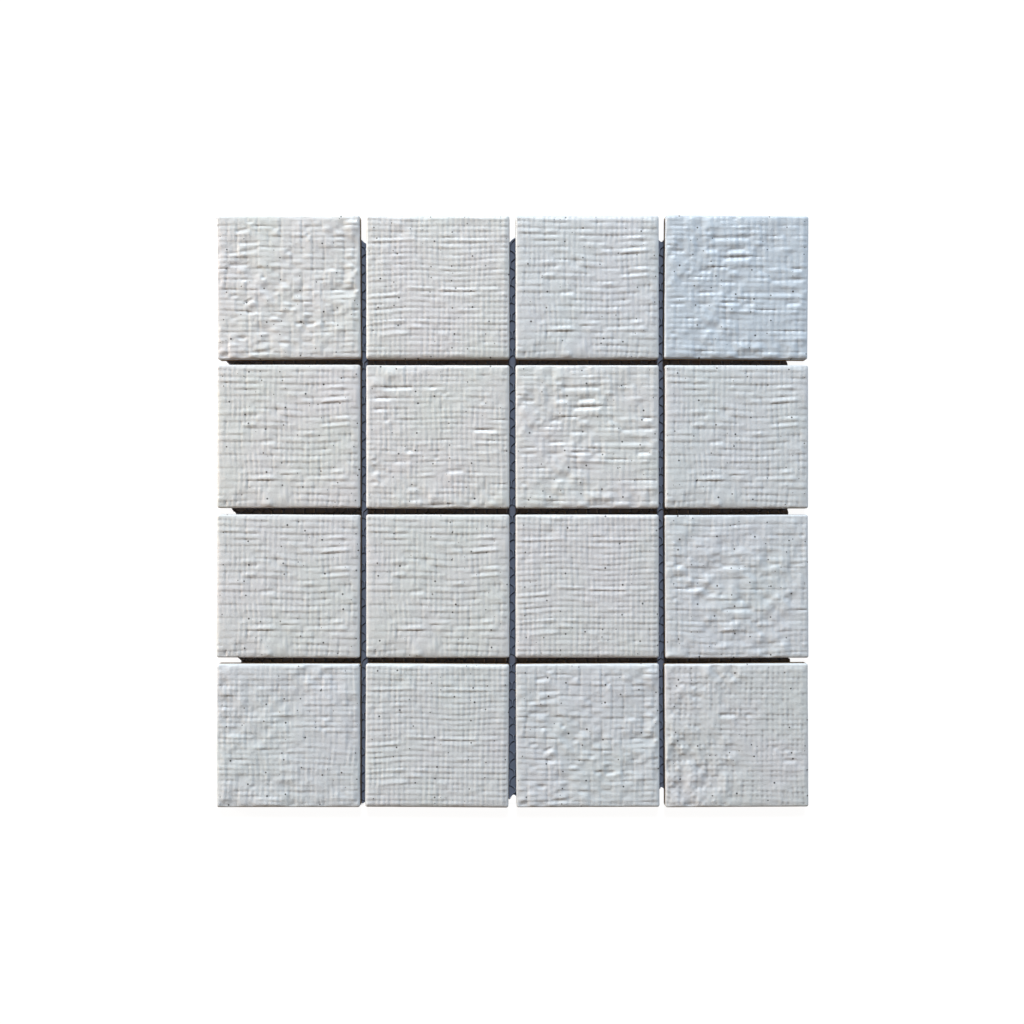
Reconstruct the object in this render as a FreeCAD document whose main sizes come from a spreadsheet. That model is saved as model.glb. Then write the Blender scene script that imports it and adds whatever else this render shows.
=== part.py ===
import FreeCAD, Part
import Sketcher
import math
import os

# A sheet of square glazed tiles, stuck by their ribbed backs to a thin open net.
# The sheet lies flat with its glazed faces up. The origin is at the middle of its footprint,
# on the surface that it lies on, +X to the right and +Y towards the first row of tiles.

# Driving dimensions, in millimetres and degrees
sizes = {
    "rows": 4,
    "columns": 4,
    "tile_side": 73,
    "tile_thick": 6,
    "joint_gap": 3,
    # Rounding of a tile's upright corners, and of the edges of its glazed face
    "corner_radius": 1.6,
    "cushion_radius": 1.6,
    # Channels pressed into a tile's back, which end at a plain rim
    "channel_width": 8,
    "rib_width": 4,
    "channel_depth": 0.5,
    "channel_rim": 8,
    # The net stops short of the sheet's edges, and lies a little low and turned under the tiles
    "net_inset": 8.5,
    "net_drop": 3.9,
    "net_turn": 1.7,
    "cell_width": 5.5,
    "cell_length": 9,
    "strand_width": 0.6,
    "strand_thick": 0.25,
}

# The tiles were set by hand, so some are off the grid: to the right, up the sheet, and turned
hand_set = {
    "r1_c1": (0.1, 0, 0.45),
    "r1_c4": (-0.1, 0, -0.45),
    "r2_c1": (0.1, 0.25, 0),
    "r3_c1": (0, 0, -0.25),
    "r3_c4": (0.05, -0.15, 0.25),
    "r4_c2": (-0.35, -0.05, -0.35),
    "r4_c3": (0.25, 0, 0.25),
    "r4_c4": (0, 0.1, 0.3),
}
for place, (right, up, turn) in hand_set.items():
    sizes[f"right_{place}"] = right
    sizes[f"up_{place}"] = up
    sizes[f"turn_{place}"] = turn

doc = FreeCAD.newDocument("mosaic_tile_sheet")
sheet = doc.addObject("Spreadsheet::Sheet", "sizes")
for row, (alias, value) in enumerate(sizes.items(), 1):
    sheet.set(f"A{row}", alias)
    sheet.set(f"B{row}", str(value))
    sheet.setAlias(f"B{row}", alias)
doc.recompute()

# As many channels as fit between the rims, with a rib between two
CHANNEL_LENGTH = "(sizes.tile_side - 2 * sizes.channel_rim)"
CHANNEL_PITCH = "(sizes.channel_width + sizes.rib_width)"
CHANNELS = f"floor(({CHANNEL_LENGTH} + sizes.rib_width) / {CHANNEL_PITCH})"
TILE_PITCH = "(sizes.tile_side + sizes.joint_gap)"


def rectangle_sketch(body, name, width, height, middle_y="0"):
    """A rectangle on the body's XY plane, centred on x = 0 and y = middle_y."""
    ground = next(plane for plane in body.Origin.OriginFeatures if plane.Role == "XY_Plane")
    sketch = body.newObject("Sketcher::SketchObject", name)
    sketch.AttachmentSupport = [(ground, "")]
    sketch.MapMode = "FlatFace"
    corners = [FreeCAD.Vector(x, y) for x, y in ((-1, -1), (1, -1), (1, 1), (-1, 1))]
    for side in range(4):
        sketch.addGeometry(Part.LineSegment(corners[side], corners[(side + 1) % 4]), False)
    for side, direction in enumerate(("Horizontal", "Vertical", "Horizontal", "Vertical")):
        sketch.addConstraint(Sketcher.Constraint("Coincident", side, 2, (side + 1) % 4, 1))
        sketch.addConstraint(Sketcher.Constraint(direction, side))
    # Each constraint runs from one point to another: side 0 is the lower one, -1 the origin
    bound = {
        "left": (("DistanceX", 0, 1, -1, 1, 1), f"({width}) / 2"),
        "width": (("DistanceX", 0, 1, 0, 2, 2), width),
        "below": (("DistanceY", 0, 1, -1, 1, 1), f"({height}) / 2 - ({middle_y})"),
        "height": (("DistanceY", 1, 1, 1, 2, 2), height),
    }
    for label, (constraint, size) in bound.items():
        index = sketch.addConstraint(Sketcher.Constraint(*constraint))
        sketch.renameConstraint(index, label)
        sketch.setExpression(f"Constraints.{label}", size)
    return sketch


def is_upright(edge):
    first, last = edge.Vertexes[0].Point, edge.Vertexes[-1].Point
    return math.hypot(first.x - last.x, first.y - last.y) < 1e-6


def is_on_face(edge):
    return edge.BoundBox.ZMin > sheet.tile_thick - 1e-6


def round_edges(body, name, base, is_wanted, radius):
    """Rounds the edges of the base feature that the test picks."""
    wanted = [f"Edge{number}" for number, edge in enumerate(base.Shape.Edges, 1) if is_wanted(edge)]
    rounding = body.newObject("PartDesign::Fillet", name)
    rounding.Base = (base, wanted)
    rounding.setExpression("Radius", radius)
    doc.recompute()
    return rounding


def make_tile(place, column, row):
    """One fired tile: a square slab with round corners, a cushioned face and a channelled back."""
    body = doc.addObject("PartDesign::Body", f"tile_{place}")
    body.Label = f"tile_{place}"

    slab = body.newObject("PartDesign::Pad", f"slab_{place}")
    slab.Profile = rectangle_sketch(body, f"outline_{place}", "sizes.tile_side", "sizes.tile_side")
    slab.setExpression("Length", "sizes.tile_thick")
    doc.recompute()
    corners = round_edges(body, f"corners_{place}", slab, is_upright, "sizes.corner_radius")
    round_edges(body, f"cushion_{place}", corners, is_on_face, "sizes.cushion_radius")

    # The first channel is the lowest, and the others repeat it up the tile
    channel = body.newObject("PartDesign::Pocket", f"channel_{place}")
    channel_outline = rectangle_sketch(
        body, f"channel_outline_{place}", CHANNEL_LENGTH, "sizes.channel_width",
        f"-{CHANNEL_PITCH} * ({CHANNELS} - 1) / 2")
    channel.Profile = channel_outline
    channel.setExpression("Length", "sizes.channel_depth")
    channel.Reversed = True
    channels = body.newObject("PartDesign::LinearPattern", f"channels_{place}")
    channels.Originals = [channel]
    channels.Direction = (channel_outline, ["V_Axis"])
    channels.Mode = "Spacing"
    channels.setExpression("Offset", CHANNEL_PITCH)
    channels.setExpression("Occurrences", CHANNELS)
    body.Tip = channels

    right, up, turn = "0", "0", "0"
    if place in hand_set:
        right, up, turn = f"sizes.right_{place}", f"sizes.up_{place}", f"sizes.turn_{place}"
    body.setExpression(
        "Placement.Base.x", f"{TILE_PITCH} * ({column} - (sizes.columns - 1) / 2) + {right}")
    body.setExpression(
        "Placement.Base.y", f"{TILE_PITCH} * ((sizes.rows - 1) / 2 - {row}) + {up}")
    body.setExpression("Placement.Base.z", "2 * sizes.strand_thick")
    body.setExpression("Placement.Rotation.Angle", turn)
    return body


def span_inside(foot, direction, half_width, half_length):
    """Where a line through foot enters and leaves the net's outline, along its direction."""
    across = sorted((side * half_width - foot.x) / direction.x for side in (-1, 1))
    along = sorted((side * half_length - foot.y) / direction.y for side in (-1, 1))
    return max(across[0], along[0]), min(across[1], along[1])


def make_strands(name, lean, layer):
    """One of the net's two sets of strands: flat bars side by side, cut off at the net's outline."""
    pitch = sheet.tile_side + sheet.joint_gap
    half_width = (sheet.columns * pitch - sheet.joint_gap) / 2 - sheet.net_inset
    half_length = (sheet.rows * pitch - sheet.joint_gap) / 2 - sheet.net_inset
    slope = lean * math.atan2(sheet.cell_length, sheet.cell_width)
    direction = FreeCAD.Vector(math.cos(slope), math.sin(slope))
    strands_each_way = math.ceil((half_width + half_length) / sheet.cell_width)
    bars = []
    for number in range(-strands_each_way, strands_each_way + 1):
        foot = FreeCAD.Vector(number * sheet.cell_width, 0)
        start, end = span_inside(foot, direction, half_width, half_length)
        # A bit at the outline's corner that crosses no other strand falls off
        if end - start < sheet.cell_length:
            continue
        bar = Part.makeBox(
            end - start, sheet.strand_width, sheet.strand_thick,
            FreeCAD.Vector(start, -sheet.strand_width / 2, 0))
        bar.rotate(FreeCAD.Vector(), FreeCAD.Vector(0, 0, 1), math.degrees(slope))
        bar.translate(foot)
        bars.append(bar)
    strands = doc.addObject("Part::Feature", name)
    strands.Label = name
    strands.Shape = Part.makeCompound(bars)
    strands.Placement = FreeCAD.Placement(
        FreeCAD.Vector(0, -sheet.net_drop, layer * sheet.strand_thick),
        FreeCAD.Rotation(FreeCAD.Vector(0, 0, 1), sheet.net_turn))
    return strands


pieces = []
for row in range(int(sheet.rows)):
    for column in range(int(sheet.columns)):
        pieces.append(make_tile(f"r{row + 1}_c{column + 1}", column, row))
pieces.append(make_strands("net_strands_rising", 1, 0))
pieces.append(make_strands("net_strands_falling", -1, 1))
doc.recompute()

for item in doc.Objects:
    if "Invalid" in item.State or "Error" in item.State:
        raise RuntimeError(f"{item.Label} failed: {item.State}")
for piece in pieces:
    if piece.Shape.isNull() or not piece.Shape.isValid():
        raise RuntimeError(f"{piece.Label} has no valid shape")

os.makedirs("parts", exist_ok=True)
whole = FreeCAD.BoundBox()
for piece in pieces:
    piece.Shape.exportStep(f"parts/{piece.Label}.step")
    whole.add(piece.Shape.BoundBox)
    print(f"{piece.Label}: {len(piece.Shape.Solids)} solids, {piece.Shape.Volume / 1000:.2f} cm3")
print(f"sheet from {whole.XMin:.3f}, {whole.YMin:.3f}, {whole.ZMin:.3f}"
      f" to {whole.XMax:.3f}, {whole.YMax:.3f}, {whole.ZMax:.3f}")
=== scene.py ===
import math

import bmesh
import bpy
import numpy as np
from mathutils import Matrix, Vector


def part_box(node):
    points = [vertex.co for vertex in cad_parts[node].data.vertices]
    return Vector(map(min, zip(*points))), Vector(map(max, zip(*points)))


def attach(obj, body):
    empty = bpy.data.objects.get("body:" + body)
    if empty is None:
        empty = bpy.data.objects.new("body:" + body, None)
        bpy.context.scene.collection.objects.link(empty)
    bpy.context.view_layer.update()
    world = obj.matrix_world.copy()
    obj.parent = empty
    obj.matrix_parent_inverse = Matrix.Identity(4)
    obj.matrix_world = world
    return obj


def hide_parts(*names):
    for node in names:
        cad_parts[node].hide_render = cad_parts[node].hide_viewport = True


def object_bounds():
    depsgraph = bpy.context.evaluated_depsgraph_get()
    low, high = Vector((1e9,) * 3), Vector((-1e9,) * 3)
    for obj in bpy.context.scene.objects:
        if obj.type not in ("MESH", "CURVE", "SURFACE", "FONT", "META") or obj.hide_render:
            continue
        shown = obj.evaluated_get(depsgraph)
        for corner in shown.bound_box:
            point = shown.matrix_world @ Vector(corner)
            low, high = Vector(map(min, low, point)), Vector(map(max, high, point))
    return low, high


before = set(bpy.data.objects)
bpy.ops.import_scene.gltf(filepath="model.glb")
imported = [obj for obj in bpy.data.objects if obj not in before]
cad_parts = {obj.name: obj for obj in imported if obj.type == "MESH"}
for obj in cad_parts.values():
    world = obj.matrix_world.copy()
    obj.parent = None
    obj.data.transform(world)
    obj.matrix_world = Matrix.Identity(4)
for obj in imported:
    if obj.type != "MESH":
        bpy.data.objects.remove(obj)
cad_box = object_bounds()

# Tiles. Each one is pressed from porcelain powder, glazed off-white with dark iron specks, and
# fired, so body and glaze are one piece. The glaze runs over the cushioned edge and part of the
# way down the sides, and the rest of the sides and the channelled back are bare fired body.
MM = 0.001
TILE_SIDE = 73 * MM
TILE_TOP = cad_box[1][2]
CORNER = 1.1 * MM           # radius of the upright corners
CUSHION_WIDTH = 2.8 * MM    # how far in from its sides the face begins to curve down
CUSHION_DROP = 1.65 * MM    # how far down the curve meets the side
ARRIS = 0.4 * MM            # the small slope round the back
CHANNEL_LENGTH = 57 * MM
CHANNEL_WIDTH = 8 * MM
RIB_WIDTH = 4 * MM
CHANNEL_DEPTH = 0.5 * MM
CHANNELS = 5
EDGE_WOBBLE = 0.1 * MM      # how far inside a straight line the edge strays
FACE_STEPS = 134            # steps of the mesh across the flat part of the face
CUSHION_STEPS = 7           # and across each cushioned edge
GRID_STEPS = FACE_STEPS + 2 * CUSHION_STEPS
ON_CUT = 1e-7               # a vertex this near to a cut counts as on it

# Linen was laid in the die, so each face carries its threads: warp up the tile, weft across it,
# with thick slubs, slack hollows and open gaps between threads. These sizes are in mm.
RELIEF_DEPTH = 1.1          # from the highest crest to the deepest hollow
GLAZE_FILL = 0.9            # share of a mark's height that shows after the glaze has run into it
LOOSE = 0.8                 # how far a thread strays from its straight line
WARP_BENDS = 19             # how far apart a warp thread's bends lie
WEFT_BENDS = 23             # and a weft thread's
WARP_CREST = 0.5            # where a thread is highest, as a share of its width from one side
WEFT_CREST = 0.68
GAP_OPEN = 0.72             # how far open a gap is on average, as a share
DASH = 6.0                  # how soon a gap opens and closes along its run
SLUB_RUN = 8                # how soon a thread thickens along its run
CRUMPLED_PLACES = 26        # how far apart the crumpled places lie
PUCKERS = 4.3               # how far apart the puckers lie in them
FINE_PUCKERS = 2.2          # and the fine ones
MARK_TAPER = 2.5            # how far from its ends a slub or crease is at its full height
LADDER_WIDTH = 0.55         # half the width of the slot that a missing thread leaves
LADDER_DEPTH = 0.12
LADDER_TAPER = 1.5          # how far from its ends a slot is at its full depth
LADDER_BREAKS = 5.5         # a slot deepens and fades twice over this length
EDGE_RUN = 8                # how soon the wobble of the edge turns


def drift(x, y, wavelength, seed):
    """Smooth random values from -1 to 1 over the tile, with swells about a wavelength apart."""
    draws = 128
    table = np.random.RandomState(seed).uniform(-1, 1, (draws, draws))
    column, row = x / wavelength + draws / 2, y / wavelength + draws / 2
    i, j = np.floor(column).astype(int), np.floor(row).astype(int)
    s, t = column - i, row - j
    s, t = s * s * (3 - 2 * s), t * t * (3 - 2 * t)
    low = table[i, j] * (1 - s) + table[i + 1, j] * s
    high = table[i, j + 1] * (1 - s) + table[i + 1, j + 1] * s
    return low * (1 - t) + high * t


def gap(phase, crest, along, seed, paired, patchy):
    """Depth from 0 to 1 beside the gaps between threads. Each thread is highest at crest, as a
    share of its width from the gap before it, and paired threads lie close, as one. The more
    patchy the cloth, the more a gap opens and closes along its run."""
    line = np.floor(phase + 1 - crest)
    off = phase - line
    slope = np.where(off < 0, -off / (1 - crest), off / crest)
    openness = np.clip(GAP_OPEN + patchy * drift(line, along / DASH, 1, seed), 0.08, 1.35)
    return (1 - np.sin(np.clip(slope, 0, 1) * math.pi / 2)) * openness * (1 - paired * (line % 2))


def swell(phase, along, run, seed):
    """Height from 0 to 1 of the thick places in the threads, which come and go along their run."""
    line = np.floor(phase)
    thick = np.clip(1.5 * drift(line, along / run, 1, seed), 0, 1)
    return thick * np.sin(math.pi * (phase - line)) ** 0.8


def ridge(off, above, below):
    """Height from 0 to 1 of a rounded ridge, by the distance below its crest and its two widths."""
    return np.exp(-(off / np.where(off < 0, above, below)) ** 2)


def mark(x, y, x0, y0, x1, y1, height):
    """A slub, or a crease over a pillow if height is negative, placed by its shaded line. A slub's
    crest is above the line, and a crease is just below it, with the pillow's crest farther down."""
    run, fall = x1 - x0, y1 - y0
    length = math.hypot(run, fall)
    along = ((x - x0) * run + (y - y0) * fall) / length
    below = ((y - y0) * run - (x - x0) * fall) / length
    end = min(MARK_TAPER, length / 2)
    taper = np.clip(along / end, 0, 1) * np.clip((length - along) / end, 0, 1)
    if height > 0:
        across = 0.7 * ridge(below + 0.4, 1.3, 0.6)
    else:
        across = 0.8 * ridge(below - 0.3, 0.65, 1.1) - 0.6 * ridge(below - 2.3, 1.1, 2.0)
    return height * taper * (2 - taper) * across


def pillow(warp, weft, seed):
    """Height from -1 to 1 of the cloth where it is puffed up or sunk between its threads."""
    column, row = np.floor(warp), np.floor(weft)
    rounded = np.sin(math.pi * (warp - column)) * np.sin(math.pi * (weft - row))
    return drift(column, row, 1, seed) * rounded


def linen(x, y, die):
    """Height of the face in mm, how dark it is painted as shade, and the two thread phases, at x
    across and y down from a corner."""
    seed = die["seed"]
    warp = (x + LOOSE * drift(x, y, WARP_BENDS, seed)) / die["warp"]
    weft = (y + LOOSE * drift(x, y, WEFT_BENDS, seed + 1)) / die["weft"]
    warp_gap = gap(warp, WARP_CREST, y, seed + 2, die["paired_warp"], die["patchy"])
    weft_gap = gap(weft, WEFT_CREST, x, seed + 3, die["paired_weft"], die["patchy"])
    crossing = warp_gap * weft_gap

    # The weft's gaps are deeper, and the crossings more so, and all of them are painted darker, as shade
    gaps = -die["open"] * (0.6 * warp_gap + 0.75 * weft_gap + 0.5 * crossing)
    painted_shading = die["open"] * (warp_gap ** 2 + 0.9 * weft_gap ** 2) + die["crossing_shading"] * crossing

    # Thick threads, and the puckers and pillows of the places where the cloth lay crumpled
    swells = die["thick_weft"] * swell(weft, x, SLUB_RUN, seed + 8)
    swells += die["thick_warp"] * swell(warp, y, SLUB_RUN, seed + 9)
    crumple = np.clip(0.6 + 0.8 * drift(x, y, CRUMPLED_PLACES, seed + 4), 0.15, 1.1)
    swells += die["pucker"] * crumple * drift(x, y * 0.9, PUCKERS, seed + 5)
    swells += 0.15 * die["pucker"] * drift(x, y, FINE_PUCKERS, seed + 6)
    pair = warp / (2 if die["paired_warp"] > 0.5 else 1)
    swells += die["pillow"] * crumple * pillow(pair, weft, seed + 10)
    for x0, y0, x1, y1, thickness in die["marks"]:
        swells += GLAZE_FILL * mark(x, y, x0, y0, x1, y1, thickness)

    height = gaps + swells
    # Painted shade: raised places are painted lighter and sunk ones darker, as light falls on them
    painted_shading -= 0.6 * swells
    for at, top, bottom in die["ladders"]:
        inside = np.clip((y - top) / LADDER_TAPER, 0, 1)
        inside *= np.clip((bottom - y) / LADDER_TAPER, 0, 1)
        inside *= np.clip(0.45 + 1.1 * drift(at + 0 * y, 2 * y, LADDER_BREAKS, seed + 11), 0, 1)
        slot = inside * np.exp(-((x - at) / LADDER_WIDTH) ** 2)
        height -= LADDER_DEPTH * slot
        # The slot is painted darker, as painted shade
        painted_shading += 0.7 * slot
    return height, painted_shading, warp, weft


# The tiles came out of eight dies, so some of the faces repeat. Of each die, these are in mm: the
# widths of a warp and a weft thread, the heights of its puckers, pillows and thick threads, the
# depth of its open gaps, its marks, as (from x, from y, to x, to y, height), and its ladders, where
# a warp thread is missing, as (x, from y, to y). The rest are shares: how much its gaps open and
# close, how much painted shade darkens their crossings, and how close its threads lie in pairs.
dies = {
    "even": {
        "seed": 11, "warp": 2.65, "weft": 2.8, "patchy": 0.5, "pucker": 0.2, "open": 0.285,
        "crossing_shading": 0.85, "pillow": 0.08, "thick_weft": 0.1, "thick_warp": 0.05,
        "paired_warp": 0.0, "paired_weft": 0.0,
        "marks": [
            (2, 14, 26, 12.6, 0.35), (41, 13.2, 63, 13.6, 0.42), (1, 17.4, 13, 17.4, 0.25),
            (36, 16.6, 50, 16.8, 0.25), (1, 38, 18, 37.2, 0.35), (20, 37, 36, 37.6, 0.35),
            (37, 38.2, 57, 38.8, 0.46), (58, 38.6, 68, 38.6, 0.35), (2, 42, 18, 41, 0.35),
            (37, 42, 56, 42.4, 0.4), (2, 45.6, 19, 44.6, 0.27), (31, 44.6, 43, 44.8, 0.25),
            (46, 48.8, 60, 48.4, 0.3), (2, 51.4, 14, 50.6, 0.27), (3, 55, 21, 53.8, 0.46),
            (23, 54.2, 32, 54.2, 0.3), (8, 58, 16, 57.2, 0.35), (22, 57.4, 30, 57.4, 0.3),
            (6, 62, 22, 60.6, 0.46), (35, 61.4, 42, 61.4, 0.35), (47, 61.8, 61, 61.6, 0.3),
            (41, 65, 60, 64.8, 0.27),
        ],
        "ladders": [(25.7, 2, 22), (15.2, 15, 21), (36.3, 55, 63), (22.8, 54, 63), (41.5, 61, 70)],
    },
    "slubby": {
        "seed": 23, "warp": 2.6, "weft": 3.3, "patchy": 0.8, "pucker": 0.27, "open": 0.24,
        "crossing_shading": 0.75, "pillow": 0.12, "thick_weft": 0.12, "thick_warp": 0.06,
        "paired_warp": 0.25, "paired_weft": 0.0,
        "marks": [
            (2, 8.8, 13, 8.8, 0.27), (14.4, 8.8, 22, 8.6, 0.32), (31.5, 12.4, 37, 12.4, 0.25),
            (56, 12.2, 66, 12, 0.42), (42, 15.7, 48, 15.6, 0.28), (57, 15.8, 68, 15.4, 0.32),
            (42.5, 19.3, 48, 19.2, 0.28), (53, 19.6, 68, 18.4, 0.46), (12.6, 24.4, 27, 24.2, 0.22),
            (17, 28, 21.5, 28, 0.27), (44, 28.9, 50.3, 28.7, 0.25), (57, 28, 67.5, 27.8, 0.34),
            (13, 31.3, 21, 31, 0.46), (21, 31.2, 42, 31.4, 0.24), (53, 32.2, 68, 31.2, 0.44),
            (5.6, 35.3, 14, 35.3, 0.25), (44, 35.6, 50, 35.4, 0.38), (22, 38.8, 30, 38.2, -0.4),
            (61.5, 43.3, 70, 43.1, 0.3), (42.6, 43.8, 48, 43.8, 0.24), (12, 50, 27, 49.8, 0.24),
            (32, 49.8, 41, 49.6, 0.28), (11, 56, 15.6, 55.8, 0.28), (32, 55.9, 43, 55.4, 0.34),
            (58.5, 55.2, 65.6, 55, 0.44), (17, 58.9, 31.5, 58.5, 0.38), (59, 61.5, 63, 61.4, 0.28),
            (45.6, 58.8, 67.5, 58.4, 0.38),
        ],
        "ladders": [(41, 6, 11), (49.4, 3, 21), (42.4, 48, 54), (62, 44, 51), (16, 57, 64)],
    },
    "crumpled": {
        "seed": 548, "warp": 2.7, "weft": 2.7, "patchy": 0.75, "pucker": 0.45, "open": 0.28,
        "crossing_shading": 0.7, "pillow": 0.3, "thick_weft": 0.06, "thick_warp": 0.1,
        "paired_warp": 0.8, "paired_weft": 0.5,
        "marks": [
            (9.5, 7.6, 17.8, 5.9, -0.55), (15.5, 3, 19, 2.6, -0.4), (28.5, 6.2, 32, 6, -0.4),
            (45.5, 9.6, 48.5, 9.4, -0.6), (11, 13.8, 22, 13.4, -0.45), (6, 18.8, 11, 18.4, -0.45),
            (12, 17.8, 22, 16.6, -0.4), (6, 24.7, 17, 24.5, -0.45), (26.6, 23.8, 33, 23.4, -0.4),
            (22.5, 31, 25.5, 31, -0.5), (12.2, 32.2, 15.5, 32, -0.45), (28.5, 38.2, 32, 38, -0.45),
            (13, 44.6, 19, 41.6, -0.65), (15, 48.6, 20, 49.4, -0.5), (26.6, 50.3, 31.3, 50.3, -0.4),
            (39.5, 54.8, 43.6, 54.6, -0.55), (45, 54.9, 50.7, 54.7, -0.65),
            (10.7, 61.8, 15.4, 61.8, -0.55), (17.8, 65.1, 26.6, 64.9, -0.4),
            (31.3, 64.4, 37, 64.2, -0.4), (43, 63.9, 49, 63.7, -0.5), (17, 69.4, 29.5, 67.6, -0.4),
            (63.6, 29.4, 70.7, 28.2, -0.35), (57, 26.6, 61, 26.6, -0.4), (35, 18, 39, 17.6, -0.35),
            (20.5, 26.4, 24, 26.2, -0.35), (36.5, 46.4, 40.5, 46.2, -0.4), (6.5, 40.4, 11, 40, -0.4),
            (6, 52, 11, 51.4, -0.4), (31.5, 33.2, 36, 33, -0.3),
        ],
        "ladders": [
            (5.7, 2, 40), (38.4, 12, 44), (43.6, 28, 58), (49.2, 3, 34), (54.8, 10, 62),
            (18.6, 28, 42)],
    },
    "bold": {
        "seed": 41, "warp": 3.1, "weft": 2.65, "patchy": 0.75, "pucker": 0.4, "open": 0.23,
        "crossing_shading": 0.6, "pillow": 0.13, "thick_weft": 0.16, "thick_warp": 0.1,
        "paired_warp": 0.3, "paired_weft": 0.75,
        "marks": [
            (20, 6.6, 48, 6.4, 0.4), (20, 8.2, 23.5, 8, -0.3), (22.4, 11.3, 43, 11, -0.45),
            (3, 17.9, 10.7, 17.7, -0.4), (20, 17.1, 26.8, 16.9, -0.45), (31.5, 17, 41, 16.7, -0.6),
            (29, 21.4, 43.5, 21.2, -0.55), (9.6, 28, 14, 27.8, -0.45), (16.8, 27.9, 24, 27.6, -0.5),
            (32, 27.4, 37.4, 27.2, -0.5), (46.5, 27.6, 51, 27.4, -0.3), (64, 26.8, 70, 26.6, -0.55),
            (53, 32.7, 71, 32.4, -0.45), (27.7, 33.7, 36.4, 33.6, -0.38), (16, 39.1, 25.3, 38.9, -0.5),
            (38.8, 38.8, 69, 38.6, -0.3), (27.7, 44.1, 39, 43.8, -0.55), (40, 44.3, 46, 44, -0.5),
            (61.6, 44.1, 69.4, 43.9, -0.6), (2, 45.1, 11, 44.9, -0.4), (15, 44.9, 24.7, 44.7, -0.35),
            (27.7, 49.6, 47.5, 49.3, 0.42), (14.8, 49.9, 23, 49.7, 0.3), (63, 49.6, 69, 49.4, 0.3),
            (43.5, 54.3, 66.3, 54, 0.25), (16.5, 60.1, 31.8, 59.9, 0.26), (2.5, 59.9, 6.5, 59.7, -0.4),
            (38.8, 67.9, 59.2, 67.4, 0.4), (38.8, 63.4, 43, 63.2, 0.25),
        ],
        "ladders": [
            (51.8, 6, 14), (63, 10, 19), (46.7, 26, 31), (10.2, 27, 32), (16.1, 38, 44),
            (28.2, 17, 23), (61.5, 43, 48), (62.7, 66, 71), (22.3, 59, 64)],
    },
    "patched": {
        "seed": 59, "warp": 2.6, "weft": 2.75, "patchy": 0.8, "pucker": 0.42, "open": 0.24,
        "crossing_shading": 0.65, "pillow": 0.13, "thick_weft": 0.08, "thick_warp": 0.12,
        "paired_warp": 0.2, "paired_weft": 0.35,
        "marks": [
            (8.3, 11.4, 24, 11.2, -0.42), (31.7, 11.1, 36.2, 10.9, -0.5), (4.2, 16.6, 13, 16.4, -0.45),
            (4, 22.1, 12, 21.9, -0.3), (38, 14.4, 41.4, 14.2, -0.35), (9, 27.8, 12.2, 27.6, -0.4),
            (19.4, 27.6, 26.4, 27.4, 0.26), (57.4, 18.2, 61, 17.8, -0.35), (54, 32.8, 66.8, 32.4, -0.45),
            (61.5, 35.9, 69, 35.7, 0.28), (54, 40.6, 69, 40.4, 0.34), (55.7, 45.6, 69, 45.4, 0.32),
            (20, 43, 24.4, 42.8, -0.4), (24, 41.5, 32, 41.3, 0.24), (11.8, 46.1, 28.8, 45.9, 0.26),
            (2.8, 48.3, 6, 48.1, -0.45), (14.7, 48.2, 23.5, 48, -0.3), (3, 53.2, 11.8, 53, -0.34),
            (40.5, 53.3, 50.4, 53, -0.48), (27.6, 56.7, 35.8, 56.5, 0.27), (55.7, 56.8, 69.7, 56.4, 0.27),
            (2.3, 59.1, 6.4, 58.9, -0.42), (14.7, 58.9, 19.4, 58.6, 0.25), (20.4, 61.7, 27.2, 61.5, -0.42),
            (34.3, 46.8, 37.3, 46.6, -0.4), (8, 6.2, 20, 6, 0.2),
        ],
        "ladders": [
            (38.2, 15, 40), (41.6, 14, 22), (15, 58, 69), (18.6, 61, 68), (41.3, 56, 66),
            (53.7, 40, 46), (53.7, 56, 68), (57, 56, 62), (60.6, 56, 64), (63.5, 14, 26)],
    },
    "slack": {
        "seed": 67, "warp": 2.9, "weft": 2.7, "patchy": 0.75, "pucker": 0.45, "open": 0.24,
        "crossing_shading": 0.55, "pillow": 0.13, "thick_weft": 0.14, "thick_warp": 0.06,
        "paired_warp": 0.4, "paired_weft": 0.7,
        "marks": [
            (42, 13, 48.5, 12.8, 0.25), (51, 12.7, 58, 12.5, 0.28), (24, 20.3, 28.4, 20.1, -0.3),
            (33, 20.3, 44.4, 20.1, 0.26), (3.8, 25, 9.8, 24.8, -0.55), (28, 25.6, 44, 25.2, -0.48),
            (53, 25, 59.2, 24.7, -0.52), (62.8, 24.8, 71, 24.5, -0.38), (3.5, 30.8, 14.2, 30.6, -0.4),
            (10.3, 36.6, 20.2, 36.3, -0.6), (3, 36.6, 10, 36.4, 0.25), (21, 39.7, 25.7, 39.4, -0.35),
            (3.4, 41.9, 6.6, 41.7, -0.45), (36, 42.2, 40.2, 42, -0.4), (49, 42.2, 54.4, 41.9, -0.4),
            (60, 42, 63.4, 41.8, -0.45), (28.7, 47.7, 45, 47.3, -0.56), (32.7, 53, 44.4, 52.7, -0.56),
            (46.2, 53, 54, 52.8, -0.38), (27.5, 58.9, 42, 58.6, 0.42), (46.8, 58.9, 50.4, 58.7, -0.3),
            (24.5, 68.2, 31.8, 67.9, 0.32), (38.6, 67.4, 54.4, 67, 0.34), (54, 67, 69, 66.4, 0.22),
            (68, 10.2, 71.4, 9.9, -0.4), (48, 30.9, 55, 30.6, -0.34), (26, 64, 41, 63.6, -0.26),
            (26.8, 41.4, 29, 39.6, -0.35),
        ],
        "ladders": [(62.7, 24, 39), (6.4, 53, 60), (60.5, 57, 63), (22, 21, 27)],
    },
    "faint": {
        "seed": 73, "warp": 2.65, "weft": 2.7, "patchy": 0.75, "pucker": 0.46, "open": 0.22,
        "crossing_shading": 0.6, "pillow": 0.13, "thick_weft": 0.12, "thick_warp": 0.08,
        "paired_warp": 0.2, "paired_weft": 0.3,
        "marks": [
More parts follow.
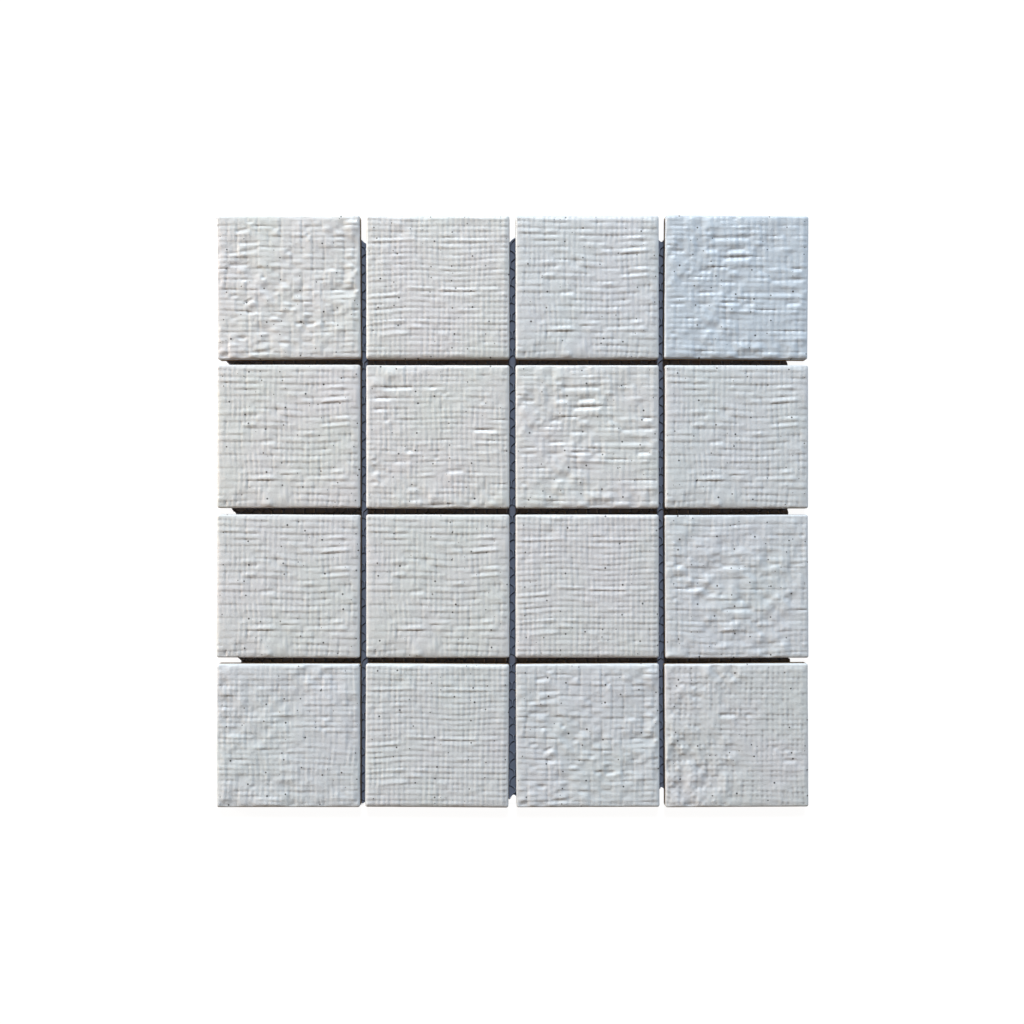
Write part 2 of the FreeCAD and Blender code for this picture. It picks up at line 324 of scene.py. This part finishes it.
            (3, 26.8, 8, 26.8, 0.34), (27.6, 26.3, 41, 26.3, 0.34), (41.5, 13.9, 55.6, 13.4, 0.28),
            (53.5, 26.8, 57.3, 26.6, -0.36), (52.5, 32.4, 56, 32.2, -0.36), (2, 32.2, 10.5, 32.2, 0.28),
            (1.8, 38, 19.3, 38, 0.48), (3, 43.5, 10, 43.5, 0.28), (32, 43.6, 37, 43.6, 0.28),
            (27.5, 49.1, 43.9, 49.1, 0.34), (31.5, 54.6, 42.7, 54.6, 0.48), (45, 54.6, 58, 54.2, 0.34),
            (28.6, 60, 41, 60, 0.34), (45.6, 60, 49.4, 59.2, 0.34), (16.6, 62.8, 20.2, 61, -0.42),
            (19.3, 69, 31.5, 69, 0.38), (36.8, 68.5, 66.5, 68, 0.34),
        ],
        "ladders": [(59.2, 57, 64)],
    },
    "dotted": {
        "seed": 83, "warp": 2.6, "weft": 2.6, "patchy": 0.65, "pucker": 0.6, "open": 0.14,
        "crossing_shading": 1.8, "pillow": 0.26, "thick_weft": 0.08, "thick_warp": 0.06,
        "paired_warp": 0.0, "paired_weft": 0.0,
        "marks": [
            (7, 9.8, 10.2, 9.5, -0.42), (13, 10.6, 16, 10.4, -0.36), (12.6, 16.4, 19.4, 16.2, -0.42),
            (14.3, 31.2, 18, 31, -0.36), (27, 25.5, 37, 25.2, -0.5), (40.8, 25.6, 44.2, 25.4, -0.42),
            (16, 55.8, 21.3, 55.6, 0.28), (59, 55.1, 71.5, 54.9, 0.28), (54.5, 42.2, 57.8, 42, -0.42),
            (60.5, 43, 63.5, 42.8, -0.36), (60, 48.8, 67, 48.6, -0.42), (62, 63.6, 66, 63.4, -0.36),
        ],
        "ladders": [(14.6, 62, 70), (60.4, 62, 70), (65, 62, 70)],
    },
}

# How much bluer and darker a tile is painted, from 0 to 1, where it is: painted cool light and
# falloff of the light over the sheet, and in part the glaze's own tint
cool_light_and_glaze_of = {
    "tile_r1_c3": 0.35, "tile_r1_c4": 1.0, "tile_r2_c3": 0.12, "tile_r2_c4": 0.35, "tile_r3_c1": 0.15,
    "tile_r3_c2": 0.1, "tile_r3_c3": 0.15, "tile_r3_c4": 0.45, "tile_r4_c1": 0.4, "tile_r4_c2": 0.25,
    "tile_r4_c3": 0.4, "tile_r4_c4": 0.25,
}
die_of = {
    "tile_r1_c1": "crumpled", "tile_r1_c2": "even", "tile_r1_c3": "slubby", "tile_r1_c4": "bold",
    "tile_r2_c1": "slubby", "tile_r2_c2": "patched", "tile_r2_c3": "bold", "tile_r2_c4": "slubby",
    "tile_r3_c1": "slubby", "tile_r3_c2": "slubby", "tile_r3_c3": "even", "tile_r3_c4": "slack",
    "tile_r4_c1": "faint", "tile_r4_c2": "even", "tile_r4_c3": "crumpled", "tile_r4_c4": "dotted",
}


def tile_turn(node):
    """How far the CAD tile was turned by hand, from the direction of its largest side."""
    sides = [face for face in node.data.polygons if abs(face.normal.z) < 0.01]
    normal = max(sides, key=lambda face: face.area).normal
    angle = math.atan2(normal.y, normal.x)
    return angle - math.radians(90) * round(angle / math.radians(90))


def lay_out(grid):
    """Where a grid's points, from -1 to 1, lie on the tile, and how far out on its cushioned edge
    they are, from 0 on the flat to 1 at the side."""
    half = TILE_SIDE / 2
    flat = half - CUSHION_WIDTH

    # Rows are evenly apart on the flat, and close up towards the edge round the cushion
    row = np.round((grid + 1) / 2 * GRID_STEPS)
    from_edge = np.minimum(row, GRID_STEPS - row)
    cushion_angle = np.clip(from_edge / CUSHION_STEPS, 0, 1) * math.pi / 2
    inset = np.where(
        from_edge < CUSHION_STEPS, CUSHION_WIDTH * (1 - np.cos(cushion_angle)),
        CUSHION_WIDTH + (from_edge - CUSHION_STEPS) * 2 * flat / FACE_STEPS)
    sign = np.where(row < GRID_STEPS / 2, -1, 1)
    place = sign * (half - inset)

    # Corners are drawn in to their radius, ring by ring
    beyond = np.maximum(np.abs(place) - flat, 0) / CUSHION_WIDTH
    ring = beyond.max(axis=1)
    radius = ring * CORNER / CUSHION_WIDTH
    centre = (ring - radius)[:, None]
    from_centre = beyond - centre
    distance = np.maximum(np.hypot(from_centre[:, 0], from_centre[:, 1]), 1e-9)
    in_corner = (from_centre > 0).all(axis=1)
    rounded = centre + from_centre * (radius / distance)[:, None]
    beyond = np.where(in_corner[:, None], rounded, beyond)
    place = np.where(np.abs(place) > flat, sign * (flat + beyond * CUSHION_WIDTH), place)
    return place[:, 0], place[:, 1], ring


def close_below(bm, bottom):
    """The sides, a small arris round the back, and the back, drawn down from the face's edge."""
    edge = [item for item in bm.edges if item.is_boundary]
    sides = bmesh.ops.extrude_edge_only(bm, edges=edge)["geom"]
    for item in sides:
        if isinstance(item, bmesh.types.BMVert):
            item.co.z = bottom + ARRIS
    edge = [item for item in sides if isinstance(item, bmesh.types.BMEdge)]
    rim = bmesh.ops.extrude_edge_only(bm, edges=edge)["geom"]
    for item in rim:
        if isinstance(item, bmesh.types.BMVert):
            item.co.x *= 1 - ARRIS / (TILE_SIDE / 2)
            item.co.y *= 1 - ARRIS / (TILE_SIDE / 2)
            item.co.z = bottom
    edge = [item for item in rim if isinstance(item, bmesh.types.BMEdge)]
    bmesh.ops.contextual_create(bm, geom=edge)


def sink_channels(bm, bottom):
    """The channels of the back, sunk between cuts across it."""
    across = CHANNEL_LENGTH / 2
    just_above = bottom + 1e-6
    lines = [(Vector((side * across, 0, 0)), Vector((1, 0, 0))) for side in (-1, 1)]
    span = CHANNELS * CHANNEL_WIDTH + (CHANNELS - 1) * RIB_WIDTH
    starts = [number * (CHANNEL_WIDTH + RIB_WIDTH) - span / 2 for number in range(CHANNELS)]
    for start in starts:
        lines.append((Vector((0, start, 0)), Vector((0, 1, 0))))
        lines.append((Vector((0, start + CHANNEL_WIDTH, 0)), Vector((0, 1, 0))))
    for point, normal in lines:
        back = [face for face in bm.faces if face.calc_center_median().z < just_above]
        around = list({item for face in back for item in (*face.verts, *face.edges)})
        bmesh.ops.bisect_plane(bm, geom=back + around, plane_co=point, plane_no=normal, dist=ON_CUT)
    channels = []
    for face in bm.faces:
        centre = face.calc_center_median()
        if centre.z > just_above or abs(centre.x) > across:
            continue
        if any(start < centre.y < start + CHANNEL_WIDTH for start in starts):
            channels.append(face)
    sunk = bmesh.ops.extrude_discrete_faces(bm, faces=channels)["faces"]
    for face in sunk:
        bmesh.ops.translate(bm, verts=face.verts, vec=(0, 0, CHANNEL_DEPTH))


def carry_finish(mesh, painted_shading, cool, warp, weft):
    """Puts the painted shade, the painted cool light and the thread phases on the mesh, for the finish
    to follow.
    """
    face_count = len(painted_shading)
    values_of_shading = np.zeros(len(mesh.vertices))
    values_of_shading[:face_count] = painted_shading
    shading_paint = mesh.attributes.new("shading_paint", "FLOAT", "POINT")
    shading_paint.data.foreach_set("value", values_of_shading)
    coolness = mesh.attributes.new("cool", "FLOAT", "POINT")
    coolness.data.foreach_set("value", np.full(len(mesh.vertices), cool))
    phases = np.zeros((len(mesh.vertices), 2))
    phases[:face_count, 0] = warp
    phases[:face_count, 1] = weft
    threads = mesh.uv_layers.new(name="threads")
    corner_vertex = np.zeros(len(mesh.loops), dtype=int)
    mesh.loops.foreach_get("vertex_index", corner_vertex)
    threads.uv.foreach_set("vector", phases[corner_vertex].ravel())


def press_tile(name):
    """One tile as a closed mesh in its place on the sheet, with its linen face and ribbed back."""
    low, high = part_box(name)
    middle = (Vector(low) + Vector(high)) / 2
    half = TILE_SIDE / 2
    die = dies[die_of[name]]

    bm = bmesh.new()
    bmesh.ops.create_grid(bm, x_segments=GRID_STEPS, y_segments=GRID_STEPS, size=1)
    x, y, ring = lay_out(np.array([vert.co[:2] for vert in bm.verts]))
    height, painted_shading, warp, weft = linen((half + x) / MM, (half - y) / MM, die)
    crest = np.percentile(height, 99.8)

    # The threads fade out down the cushioned edge
    relief = np.clip((1 - ring) / 0.55, 0, 1)
    depth = np.clip(crest - height, 0, RELIEF_DEPTH) * relief
    cushion = CUSHION_DROP * (1 - np.sqrt(np.maximum(1 - ring ** 2, 0)))
    level = TILE_TOP - cushion - depth * MM
    face_verts = bm.verts[:]
    for vert, px, py, pz in zip(face_verts, x, y, level):
        vert.co = (px, py, pz)

    close_below(bm, low[2])
    sink_channels(bm, low[2])
    bmesh.ops.recalc_face_normals(bm, faces=bm.faces)

    # The edge of a pressed tile is never quite straight
    wobble = ring * EDGE_WOBBLE * (0.55 + 0.5 * drift(x / MM, y / MM, EDGE_RUN, die["seed"] + 7))
    for vert, inward in zip(face_verts, wobble):
        vert.co.x *= 1 - inward / half
        vert.co.y *= 1 - inward / half

    turn = Matrix.Rotation(tile_turn(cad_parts[name]), 4, "Z")
    bmesh.ops.transform(
        bm, verts=bm.verts, space=Matrix(),
        matrix=Matrix.Translation((middle.x, middle.y, 0)) @ turn)
    mesh = bpy.data.meshes.new(f"{name}_face")
    bm.to_mesh(mesh)
    bm.free()
    carry_finish(mesh, painted_shading * relief, cool_light_and_glaze_of.get(name, 0.0), warp, weft)
    mesh.shade_smooth()
    mesh.set_sharp_from_angle(angle=math.radians(35))

    tile = bpy.data.objects.new(f"{name}_glazed", mesh)
    bpy.context.scene.collection.objects.link(tile)
    return tile


def node_of(tree, kind, **settings):
    """A new node in the tree, with its properties and unlinked inputs set."""
    node = tree.nodes.new(kind)
    for key, value in settings.items():
        if hasattr(node, key):
            setattr(node, key, value)
        else:
            node.inputs[key.replace("_", " ")].default_value = value
    return node


GLAZE_WARM = (0.655, 0.70, 0.71, 1)
GLAZE_COOL = (0.68, 0.695, 0.735, 1)
BLUISH_LIGHT_AND_GLAZE = (0.535, 0.62, 0.715, 1)
SHADING_GREY = (0.27, 0.28, 0.30, 1)
IRON = (0.012, 0.012, 0.014, 1)
BODY_DARK = (0.22, 0.155, 0.095, 1)
BODY_PALE = (0.30, 0.215, 0.135, 1)


def glaze_tone(tree, place):
    """Off-white, drifting from warm to cool grey over each tile, bluer and darker where a cool light is
    painted on, and with painted shade, darker in gaps and hollows and lighter on raised places.
    """
    link = tree.links.new
    tone_noise = node_of(tree, "ShaderNodeTexNoise", Scale=28.0, Detail=2.0)
    link(place, tone_noise.inputs["Vector"])
    tone = tree.nodes.new("ShaderNodeValToRGB")
    tone.color_ramp.elements[0].position = 0.35
    tone.color_ramp.elements[0].color = GLAZE_WARM
    tone.color_ramp.elements[1].position = 0.65
    tone.color_ramp.elements[1].color = GLAZE_COOL
    link(tone_noise.outputs["Fac"], tone.inputs["Fac"])
    # Painted cool light: bluer and darker where the light is painted cooler and dimmer, partly the glaze's
    # own tint
    cool = node_of(tree, "ShaderNodeAttribute", attribute_name="cool")
    cooled = node_of(tree, "ShaderNodeMix", data_type="RGBA")
    link(cool.outputs["Fac"], cooled.inputs[0])
    link(tone.outputs["Color"], cooled.inputs[6])
    cooled.inputs[7].default_value = BLUISH_LIGHT_AND_GLAZE
    # Painted shade: gaps, crossings, slots and sunk places darker, raised places lighter
    shading_paint = node_of(tree, "ShaderNodeAttribute", attribute_name="shading_paint")
    shading_amount = node_of(tree, "ShaderNodeMapRange", From_Min=-0.3, From_Max=1.2, To_Max=0.8)
    link(shading_paint.outputs["Fac"], shading_amount.inputs["Value"])
    shaded_tone = node_of(tree, "ShaderNodeMix", data_type="RGBA")
    link(shading_amount.outputs["Result"], shaded_tone.inputs[0])
    link(cooled.outputs[2], shaded_tone.inputs[6])
    shaded_tone.inputs[7].default_value = SHADING_GREY
    return shaded_tone.outputs[2]


def speckled(tree, place, shade, scale, radius, scarcity):
    """Iron specks over a shade: one in each Voronoi cell that draws over the scarcity, with a
    radius as a share of the cell, and larger for a higher draw."""
    link = tree.links.new
    cells = node_of(tree, "ShaderNodeTexVoronoi", voronoi_dimensions="2D", Scale=scale)
    link(place, cells.inputs["Vector"])
    draw = tree.nodes.new("ShaderNodeSeparateColor")
    link(cells.outputs["Color"], draw.inputs["Color"])
    reach = node_of(
        tree, "ShaderNodeMapRange", From_Min=scarcity, From_Max=1.0, To_Min=0.6 * radius,
        To_Max=radius)
    link(draw.outputs["Red"], reach.inputs["Value"])
    chosen = node_of(tree, "ShaderNodeMath", operation="GREATER_THAN")
    link(draw.outputs["Red"], chosen.inputs[0])
    chosen.inputs[1].default_value = scarcity
    ratio = node_of(tree, "ShaderNodeMath", operation="DIVIDE")
    link(cells.outputs["Distance"], ratio.inputs[0])
    link(reach.outputs["Result"], ratio.inputs[1])
    dot = node_of(tree, "ShaderNodeMapRange", From_Min=0.6, From_Max=1.2, To_Min=1.0, To_Max=0.0)
    link(ratio.outputs["Value"], dot.inputs["Value"])
    speck = node_of(tree, "ShaderNodeMath", operation="MULTIPLY")
    link(dot.outputs["Result"], speck.inputs[0])
    link(chosen.outputs["Value"], speck.inputs[1])
    mixed = node_of(tree, "ShaderNodeMix", data_type="RGBA")
    link(speck.outputs["Value"], mixed.inputs[0])
    link(shade, mixed.inputs[6])
    mixed.inputs[7].default_value = IRON
    return mixed.outputs[2]


def glaze_cover(tree, place):
    """1 where the glaze reaches and 0 below a wavering line round the sides, about 4 mm up."""
    link = tree.links.new
    height = tree.nodes.new("ShaderNodeSeparateXYZ")
    link(place, height.inputs["Vector"])
    waver = node_of(tree, "ShaderNodeTexNoise", Scale=180.0, Detail=2.0)
    link(place, waver.inputs["Vector"])
    line = node_of(tree, "ShaderNodeMath", operation="MULTIPLY_ADD")
    line.inputs[1].default_value = 1.2 * MM
    line.inputs[2].default_value = 3.4 * MM
    link(waver.outputs["Fac"], line.inputs[0])
    above = node_of(tree, "ShaderNodeMath", operation="SUBTRACT")
    link(height.outputs["Z"], above.inputs[0])
    link(line.outputs["Value"], above.inputs[1])
    glazed = node_of(tree, "ShaderNodeMapRange", From_Min=0.0, From_Max=0.2 * MM)
    link(above.outputs["Value"], glazed.inputs["Value"])
    return glazed.outputs["Result"]


def body_tone(tree, place):
    """Bare fired body, a grainy tan."""
    grain = node_of(tree, "ShaderNodeTexNoise", Scale=1500.0, Detail=3.0)
    tree.links.new(place, grain.inputs["Vector"])
    tone = tree.nodes.new("ShaderNodeValToRGB")
    tone.color_ramp.elements[0].position = 0.3
    tone.color_ramp.elements[0].color = BODY_DARK
    tone.color_ramp.elements[1].position = 0.7
    tone.color_ramp.elements[1].color = BODY_PALE
    tree.links.new(grain.outputs["Fac"], tone.inputs["Fac"])
    return tone.outputs["Color"]


def thread_bump(tree, place):
    """Fibres of the threads, and the fine ripple of a satin glaze."""
    link = tree.links.new
    threads = node_of(tree, "ShaderNodeUVMap", uv_map="threads")
    fibres = node_of(tree, "ShaderNodeTexNoise", Scale=3.4, Detail=3.0, Roughness=0.6)
    link(threads.outputs["UV"], fibres.inputs["Vector"])
    ripple = node_of(tree, "ShaderNodeTexNoise", Scale=1900.0, Detail=2.0)
    link(place, ripple.inputs["Vector"])
    fine = node_of(tree, "ShaderNodeMath", operation="MULTIPLY_ADD")
    link(ripple.outputs["Fac"], fine.inputs[0])
    fine.inputs[1].default_value = 0.35
    link(fibres.outputs["Fac"], fine.inputs[2])
    bump = node_of(tree, "ShaderNodeBump", Strength=1.0, Distance=0.12 * MM)
    link(fine.outputs["Value"], bump.inputs["Height"])
    return bump.outputs["Normal"]


def fired_glaze():
    """Satin off-white glaze with iron specks over a bare fired body."""
    material = bpy.data.materials.new("fired_glaze")
    material.use_nodes = True
    tree = material.node_tree
    link = tree.links.new
    shader = tree.nodes["Principled BSDF"]
    shader.inputs["Specular IOR Level"].default_value = 0.5
    place = tree.nodes.new("ShaderNodeTexCoord").outputs["Object"]

    # About thirty specks a tile are up to half a millimetre in radius, and the rest are finer
    shade = glaze_tone(tree, place)
    shade = speckled(tree, place, shade, scale=105.0, radius=0.055, scarcity=0.5)
    shade = speckled(tree, place, shade, scale=330.0, radius=0.1, scarcity=0.965)
    glazed = glaze_cover(tree, place)
    colour = node_of(tree, "ShaderNodeMix", data_type="RGBA")
    link(glazed, colour.inputs[0])
    link(body_tone(tree, place), colour.inputs[6])
    link(shade, colour.inputs[7])
    link(colour.outputs[2], shader.inputs["Base Color"])
    rough = node_of(tree, "ShaderNodeMapRange", To_Min=0.85, To_Max=0.42)
    link(glazed, rough.inputs["Value"])
    link(rough.outputs["Result"], shader.inputs["Roughness"])
    link(thread_bump(tree, place), shader.inputs["Normal"])
    return material


glaze = fired_glaze()
for name in die_of:
    tile = press_tile(name)
    tile.data.materials.append(glaze)
    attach(tile, "root")
    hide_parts(name)

# Backing net. It is knitted from thin polyester yarn in rows of hexagonal cells, cut to size and
# glued under the tiles, and its cells show in the joints.
NET_THICK = 0.5 * MM
CELL_WIDTH = 5.5 * MM
ROW_PITCH = 4.5 * MM        # from one row of cells to the next
STEM_LENGTH = 2.5 * MM      # the upright sides of a cell
STEM_WIDTH = 0.9 * MM
STRAND = 0.6 * MM           # the width of its slanting sides
NET_DROP = 3.9 * MM         # how low the net lies under the tiles
NET_TURN = math.radians(1.7)
COURSE_RISE = math.radians(5)
COLUMNS = 58
ROW_PAIRS = 35
WELD = 0.01 * MM            # vertices of two cells this near to each other are one
YARN = (0.135, 0.157, 0.215, 1)


def knit_cell():
    """A cell of each of two rows. Each is the inner halves of the strands round a barrel-shaped
    opening, which meet the neighbours' halves along their middles."""
    bm = bmesh.new()
    bmesh.ops.create_circle(bm, segments=6, radius=1)
    peak = ROW_PITCH - STEM_LENGTH / 2
    for vert in bm.verts:
        end = STEM_LENGTH / 2 if abs(vert.co.y) < 0.9 else peak
        vert.co.x = round(vert.co.x / math.cos(math.pi / 6)) * CELL_WIDTH / 2
        vert.co.y = math.copysign(end, vert.co.y)
    bmesh.ops.subdivide_edges(bm, edges=bm.edges[:], cuts=1)
    for vert in bm.verts:
        vert.co.z = NET_THICK / 2
    opening = bmesh.ops.create_circle(bm, segments=12, radius=1)["verts"]
    wide, tall = (CELL_WIDTH - STEM_WIDTH) / 2, peak - STRAND / 2

    # Powers under 1 square the round opening off to a barrel
    for vert in opening:
        x, y = vert.co.x, vert.co.y
        vert.co.x = math.copysign(wide * abs(x) ** 0.72, x)
        vert.co.y = math.copysign(tall * abs(y) ** 0.95, y)
    bmesh.ops.bridge_loops(bm, edges=bm.edges[:])

    # The under side mirrors the top, and the next row's cell lies half a cell across
    under = bmesh.ops.duplicate(bm, geom=bm.verts[:] + bm.edges[:] + bm.faces[:])["geom"]
    under_verts = [item for item in under if isinstance(item, bmesh.types.BMVert)]
    under_faces = [item for item in under if isinstance(item, bmesh.types.BMFace)]
    bmesh.ops.scale(bm, verts=under_verts, vec=(1, 1, -1))
    bmesh.ops.reverse_faces(bm, faces=under_faces)
    bmesh.ops.remove_doubles(bm, verts=bm.verts, dist=WELD)
    second = bmesh.ops.duplicate(bm, geom=bm.verts[:] + bm.edges[:] + bm.faces[:])["geom"]
    second_verts = [item for item in second if isinstance(item, bmesh.types.BMVert)]
    bmesh.ops.translate(bm, verts=second_verts, vec=(CELL_WIDTH / 2, ROW_PITCH, 0))
    bmesh.ops.translate(
        bm, verts=bm.verts, vec=(-CELL_WIDTH * COLUMNS / 2, -ROW_PITCH * ROW_PAIRS, NET_THICK / 2))
    return bm


net_mesh = bpy.data.meshes.new("net_cell")
bm = knit_cell()
bm.to_mesh(net_mesh)
bm.free()
net = bpy.data.objects.new("backing_net", net_mesh)
bpy.context.scene.collection.objects.link(net)
for count, step in ((COLUMNS, (CELL_WIDTH, 0, 0)), (ROW_PAIRS, (0, 2 * ROW_PITCH, 0))):
    array = net.modifiers.new("cells", "ARRAY")
    array.count = count
    array.use_relative_offset = False
    array.use_constant_offset = True
    array.constant_offset_displace = step
knitted = bpy.data.meshes.new_from_object(net.evaluated_get(bpy.context.evaluated_depsgraph_get()))
net.modifiers.clear()
net.data = knitted

# The cells lie askew, as the courses climb to the right. The edges are cut by hand. Each cut is
# given as a point on it, in mm, and the way it faces, in degrees. The last one is straight, and
# takes off the points of the lower edge that reach past the tiles.
cuts = []
for x, y, direction in (
        (142, 0, 0.3), (0, 139.7, 90.3), (-143.7, 0, 182.1), (0, -147, 272.9), (0, -150.5, 270)):
    turn = math.radians(direction)
    cuts.append((Vector((x, y, 0)) * MM, Vector((math.cos(turn), math.sin(turn), 0))))

# The scissors go in and out from cell to cell along the other cuts: how deep and how far apart, in
# mm, and from which part of the wave
scissors = (
    (0.4, 5.43, math.pi), (1.1, 5.63, math.pi), (1.1, 5.43, math.pi), (1.0, 5.43, 0))
RAGGED = 5 * MM             # how far in from a cut its zigzag reaches


def zigzag(verts):
    """Moves the vertices near the cuts in and out, as the scissors went."""
    for (point, outward), (depth, pitch, phase) in zip(cuts, scissors):
        along = Vector((-outward.y, outward.x, 0))
        for vert in verts:
            inside = (point - vert.co).dot(outward)
            if inside < RAGGED:
                wave = math.sin(math.tau * vert.co.dot(along) / (pitch * MM) + phase)
                vert.co += outward * depth * MM * wave * (1 - inside / RAGGED)


bm = bmesh.new()
bm.from_mesh(knitted)
bmesh.ops.remove_doubles(bm, verts=bm.verts, dist=2 * WELD)
askew = Matrix((
    (math.cos(COURSE_RISE), -math.sin(NET_TURN), 0, 0),
    (math.sin(COURSE_RISE), math.cos(NET_TURN), 0, -NET_DROP),
    (0, 0, 1, 0), (0, 0, 0, 1)))
bmesh.ops.transform(bm, matrix=askew, verts=bm.verts)
for number, (point, outward) in enumerate(cuts):
    if number == len(scissors):
        zigzag(bm.verts)
    bmesh.ops.bisect_plane(
        bm, geom=bm.verts[:] + bm.edges[:] + bm.faces[:], dist=ON_CUT,
        plane_co=point, plane_no=outward, clear_outer=True)
bmesh.ops.holes_fill(bm, edges=[edge for edge in bm.edges if edge.is_boundary], sides=0)
bm.to_mesh(knitted)
bm.free()
knitted.shade_smooth()


def yarn():
    """Slate-blue polyester yarn."""
    material = bpy.data.materials.new("net_yarn")
    material.use_nodes = True
    shader = material.node_tree.nodes["Principled BSDF"]
    shader.inputs["Base Color"].default_value = YARN
    shader.inputs["Roughness"].default_value = 0.6
    return material


knitted.materials.append(yarn())
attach(net, "root")
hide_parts("net_strands_rising", "net_strands_falling")

# Floor, light and camera. The sheet lies on a white paper table, and the camera looks straight
# down at it. Most light falls in low from beyond the first row, and some from the left.
FLOOR_REACH = 3             # from the middle of the table to its edges, in m
SHADE_INSET = 0.4 * MM      # how far inside the net's edge the paper under it turns dark
SHADE_STEPS = 400           # along each edge of it
PAPER = (0.5, 0.5, 0.5, 1)
SHADE_PAINTED_PAPER = (0.118, 0.137, 0.192, 1)
floor_mesh = bpy.data.meshes.new("floor")
bm = bmesh.new()
bmesh.ops.create_grid(bm, x_segments=1, y_segments=1, size=FLOOR_REACH)
for point, outward in cuts:
    bmesh.ops.bisect_plane(
        bm, geom=bm.verts[:] + bm.edges[:] + bm.faces[:], dist=ON_CUT,
        plane_co=point - outward * SHADE_INSET, plane_no=outward)
under_net = min(bm.faces, key=lambda face: face.calc_center_median().length)
bmesh.ops.subdivide_edges(bm, edges=under_net.edges[:], cuts=SHADE_STEPS)
under_net = min(bm.faces, key=lambda face: face.calc_center_median().length)
# The paper under the net is painted dark, as painted shade
under_net.material_index = 1
zigzag(under_net.verts)
bm.to_mesh(floor_mesh)
bm.free()
floor = bpy.data.objects.new("floor", floor_mesh)
bpy.context.scene.collection.objects.link(floor)


def table_paper():
    """White paper, which glows to the camera and in reflections only."""
    material = bpy.data.materials.new("table_paper")
    material.use_nodes = True
    tree = material.node_tree
    link = tree.links.new
    shader = tree.nodes["Principled BSDF"]
    shader.inputs["Base Color"].default_value = PAPER
    shader.inputs["Roughness"].default_value = 0.9
    seen = tree.nodes.new("ShaderNodeLightPath")
    direct = node_of(tree, "ShaderNodeMath", operation="ADD")
    link(seen.outputs["Is Camera Ray"], direct.inputs[0])
    link(seen.outputs["Is Glossy Ray"], direct.inputs[1])
    through = node_of(tree, "ShaderNodeMath", operation="ADD")
    link(direct.outputs["Value"], through.inputs[0])
    link(seen.outputs["Is Transmission Ray"], through.inputs[1])
    share = node_of(tree, "ShaderNodeMath", operation="MULTIPLY")
    link(through.outputs["Value"], share.inputs[0])
    share.inputs[1].default_value = 0.8
    glow = node_of(tree, "ShaderNodeEmission", Strength=1.2)
    mixed = tree.nodes.new("ShaderNodeMixShader")
    link(share.outputs["Value"], mixed.inputs[0])
    link(shader.outputs["BSDF"], mixed.inputs[1])
    link(glow.outputs["Emission"], mixed.inputs[2])
    link(mixed.outputs["Shader"], tree.nodes["Material Output"].inputs["Surface"])
    return material


def shade_painted_paper():
    """The table under the net, painted dark in the yarn's colour, as painted shade where the sheet
    shades it.
    """
    material = bpy.data.materials.new("shade_painted_paper")
    material.use_nodes = True
    shader = material.node_tree.nodes["Principled BSDF"]
    shader.inputs["Base Color"].default_value = SHADE_PAINTED_PAPER
    shader.inputs["Roughness"].default_value = 0.9
    return material


floor_mesh.materials.append(table_paper())
floor_mesh.materials.append(shade_painted_paper())

VIEW_WIDTH = 519.5 * MM     # what the camera sees at that height
CAMERA_HEIGHT = 460 * MM    # over the faces
CAMERA_OFF = 0.25 * MM      # how far left of and below the sheet's middle the camera is
camera_data = bpy.data.cameras.new("camera")
camera_data.angle = 2 * math.atan(VIEW_WIDTH / 2 / CAMERA_HEIGHT)
camera = bpy.data.objects.new("camera", camera_data)
camera.location = (-CAMERA_OFF, -CAMERA_OFF, TILE_TOP + CAMERA_HEIGHT)
bpy.context.scene.collection.objects.link(camera)
bpy.context.scene.camera = camera

# Lamps are (name, place in m, width in m, power in W, tint)
for name, place, size, power, tint in (
        ("window_light", (0, 7.3, 5.3), 1.7, 930, (0.857, 0.945, 1.0)),
        ("side_light", (-2.2, 0.72, 0.5), 0.6, 54, (1.0, 0.95, 0.87)),
        ("warm_fill", (-2.6, 0, 1.2), 1.0, 17, (1.0, 0.5, 0.12)),
        ("cool_fill", (0.9, 0.85, 0.4), 0.5, 2.6, (0.62, 0.78, 1.0))):
    lamp_data = bpy.data.lights.new(name, "AREA")
    lamp_data.shape = "DISK"
    lamp_data.size = size
    lamp_data.energy = power
    lamp_data.color = tint
    lamp = bpy.data.objects.new(name, lamp_data)
    lamp.location = place
    lamp.rotation_euler = Vector(place).to_track_quat("Z", "Y").to_euler()
    bpy.context.scene.collection.objects.link(lamp)

# The room is dim and warm, but white to the camera and half white in reflections
world = bpy.data.worlds.new("studio")
bpy.context.scene.world = world
world.use_nodes = True
tree = world.node_tree
dim = tree.nodes["Background"]
dim.inputs["Color"].default_value = (0.085, 0.048, 0.02, 1)
white = node_of(tree, "ShaderNodeBackground", Color=(1, 1, 1, 1))
seen = tree.nodes.new("ShaderNodeLightPath")
through = node_of(tree, "ShaderNodeMath", operation="ADD")
tree.links.new(seen.outputs["Is Camera Ray"], through.inputs[0])
tree.links.new(seen.outputs["Is Transmission Ray"], through.inputs[1])
share = node_of(tree, "ShaderNodeMath", operation="MULTIPLY_ADD")
tree.links.new(seen.outputs["Is Glossy Ray"], share.inputs[0])
share.inputs[1].default_value = 0.5
tree.links.new(through.outputs["Value"], share.inputs[2])
surround = tree.nodes.new("ShaderNodeMixShader")
tree.links.new(share.outputs["Value"], surround.inputs[0])
tree.links.new(dim.outputs["Background"], surround.inputs[1])
tree.links.new(white.outputs["Background"], surround.inputs[2])
tree.links.new(surround.outputs["Shader"], tree.nodes["World Output"].inputs["Surface"])

bpy.context.scene.view_settings.view_transform = "Standard"
